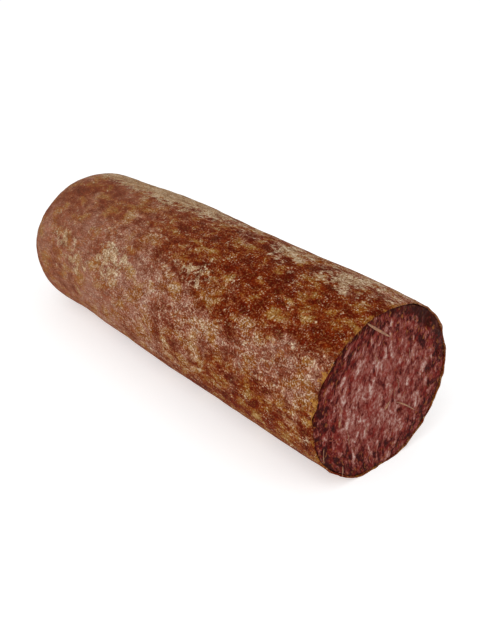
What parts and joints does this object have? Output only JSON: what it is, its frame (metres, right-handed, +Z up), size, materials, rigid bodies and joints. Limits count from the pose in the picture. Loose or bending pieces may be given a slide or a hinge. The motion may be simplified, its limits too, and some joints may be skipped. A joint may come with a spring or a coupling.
{
  "type": "cured sausage",
  "caption": "Length of cured sausage with a thin brown casing, cut flat across one end to show the meat and clipped shut at its other, rounded end.",
  "frame": {"origin": "midway along the whole length, tuft included, on the surface that the sausage rests on", "axes": "+X along the sausage towards the cut face, +Z up from the pressed underside, +Y across it"},
  "size_m": [0.193, 0.0656, 0.0622],
  "materials": {
    "meat": "satin",
    "casing": "satin",
    "clip_wire": "satin"
  },
  "bodies": {
    "root": {"meat": "meat", "casing": "casing", "end_clip": "clip_wire"}
  },
  "joints": []
}
